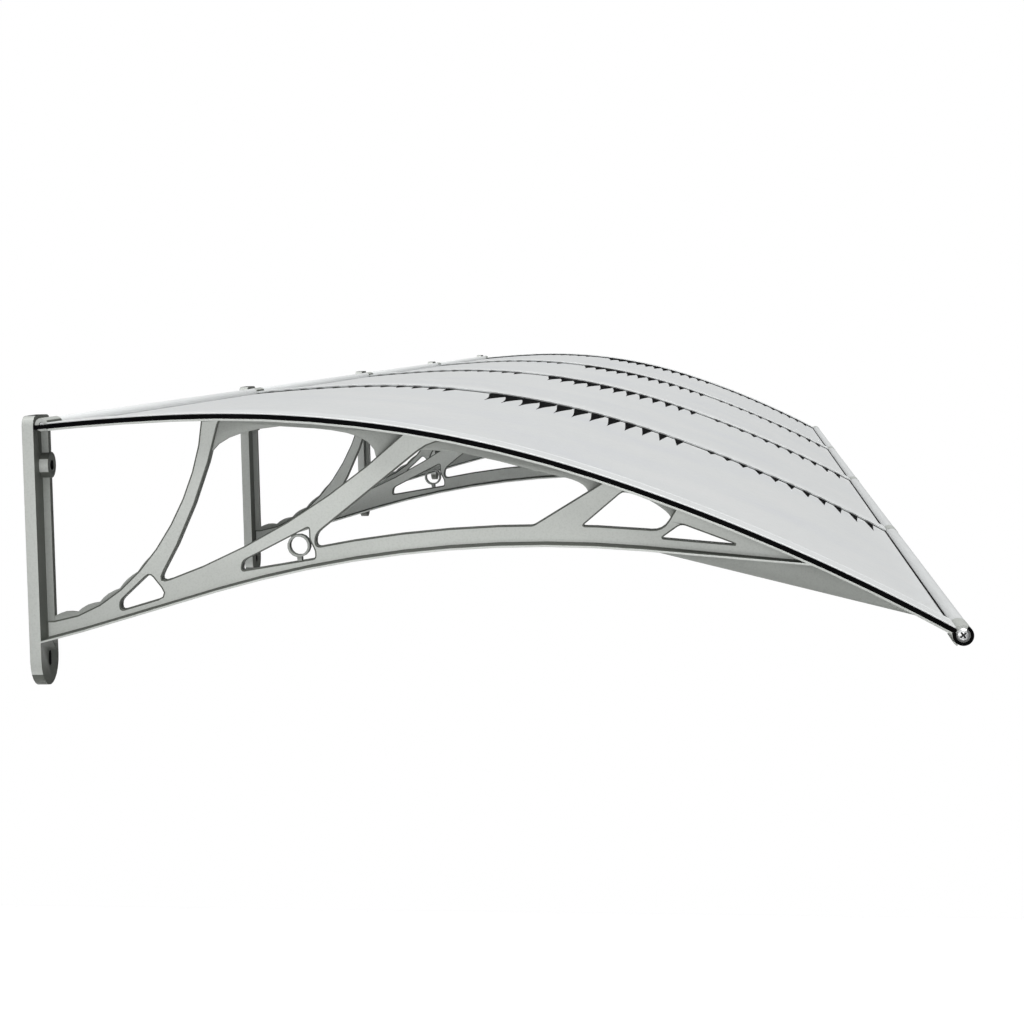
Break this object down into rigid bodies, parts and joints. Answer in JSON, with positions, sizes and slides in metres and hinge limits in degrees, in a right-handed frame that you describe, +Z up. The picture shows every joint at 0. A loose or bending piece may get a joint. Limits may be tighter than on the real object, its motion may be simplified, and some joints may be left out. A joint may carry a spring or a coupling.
{
  "type": "door canopy",
  "caption": "Curved polycarbonate door canopy: openwork cantilever brackets on a wall carry arched sheets held by bars, rubber seals and cover strips.",
  "frame": {"origin": "on the wall, at the middle of the back face of the centre bracket's wall plate", "axes": "+X out from the wall, +Y along the wall, +Z up"},
  "size_m": [0.9828, 4.058, 0.292],
  "materials": {
    "cast_aluminium": "satin cast, clear lacquered",
    "extruded_aluminium": "extruded, matt anodised",
    "frosted_polycarbonate": "frosted, smooth outside",
    "black_rubber": "matt extruded rubber",
    "bright_screw_steel": "bright zinc plated"
  },
  "bodies": {
    "root": {"bracket_1": "cast_aluminium", "bracket_2": "cast_aluminium", "bracket_3": "cast_aluminium", "bracket_4": "cast_aluminium", "bracket_5": "cast_aluminium", "cover_strip_1": "extruded_aluminium", "cover_strip_2": "extruded_aluminium", "cover_strip_3": "extruded_aluminium", "cover_strip_4": "extruded_aluminium", "cover_strip_5": "extruded_aluminium", "front_bar_1": "extruded_aluminium", "front_bar_2": "extruded_aluminium", "front_bar_3": "extruded_aluminium", "front_bar_4": "extruded_aluminium", "rear_bar_1": "extruded_aluminium", "rear_bar_2": "extruded_aluminium", "rear_bar_3": "extruded_aluminium", "rear_bar_4": "extruded_aluminium", "sheet_1": "frosted_polycarbonate", "sheet_2": "frosted_polycarbonate", "sheet_3": "frosted_polycarbonate", "sheet_4": "frosted_polycarbonate", "joint_seal_2": "black_rubber", "joint_seal_3": "black_rubber", "joint_seal_4": "black_rubber", "end_seal_near": "black_rubber", "end_seal_far": "black_rubber", "rear_pin_1": "bright_screw_steel", "rear_pin_2": "bright_screw_steel", "rear_pin_3": "bright_screw_steel", "rear_pin_4": "bright_screw_steel", "rear_pin_5": "bright_screw_steel", "front_pin_2": "bright_screw_steel", "front_pin_3": "bright_screw_steel", "front_pin_4": "bright_screw_steel", "nose_screw_near": "bright_screw_steel", "nose_screw_far": "bright_screw_steel"}
  },
  "joints": []
}
